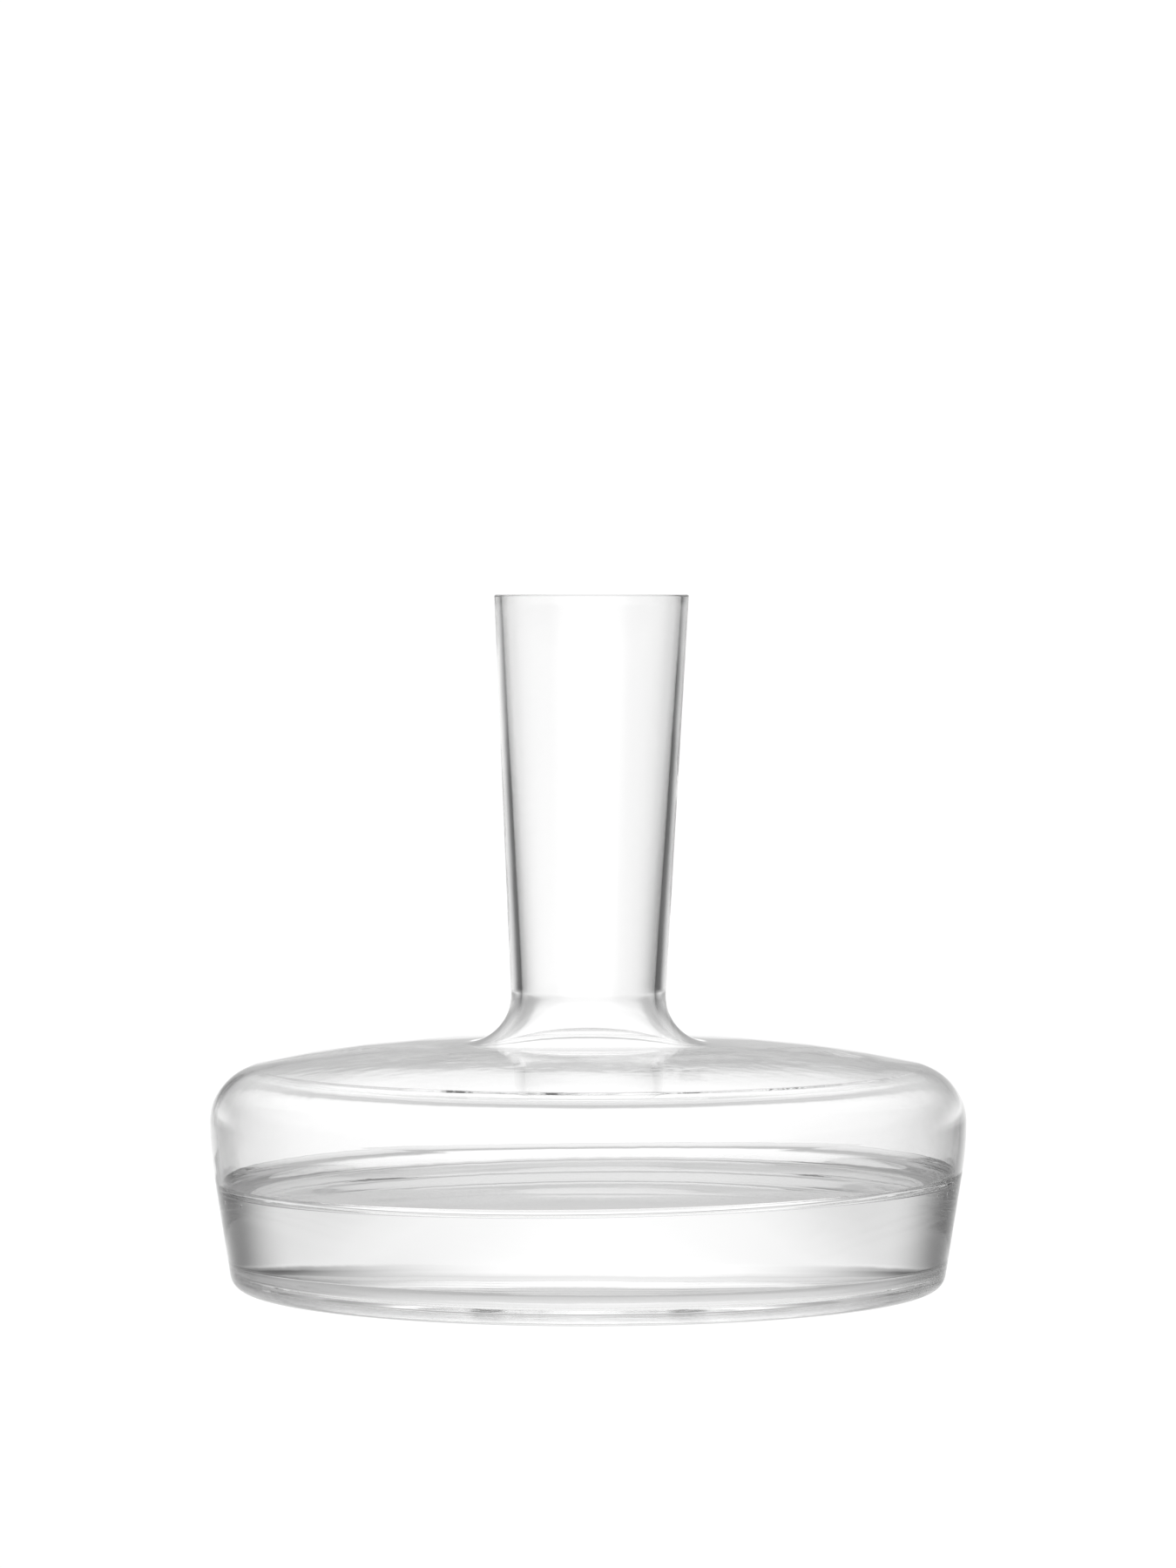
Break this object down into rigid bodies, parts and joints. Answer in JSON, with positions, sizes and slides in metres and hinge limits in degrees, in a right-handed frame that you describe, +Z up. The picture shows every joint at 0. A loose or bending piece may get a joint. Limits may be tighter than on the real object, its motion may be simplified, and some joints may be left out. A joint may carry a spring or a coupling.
{
  "type": "wine decanter",
  "caption": "Clear blown-glass wine decanter: low wide bowl with leaning sides and rounded shoulders, tall open flared neck, bowl part filled with still water.",
  "frame": {"origin": "centre of the base, on the surface that the decanter stands on", "axes": "+Z up along the axis of the neck and bowl; the piece is a solid of revolution, so X and Y are alike"},
  "size_m": [0.21, 0.21, 0.192],
  "materials": {
    "clear_glass": "polished",
    "water": "polished"
  },
  "bodies": {
    "root": {"glass_vessel": "clear_glass", "water": "water"}
  },
  "joints": []
}
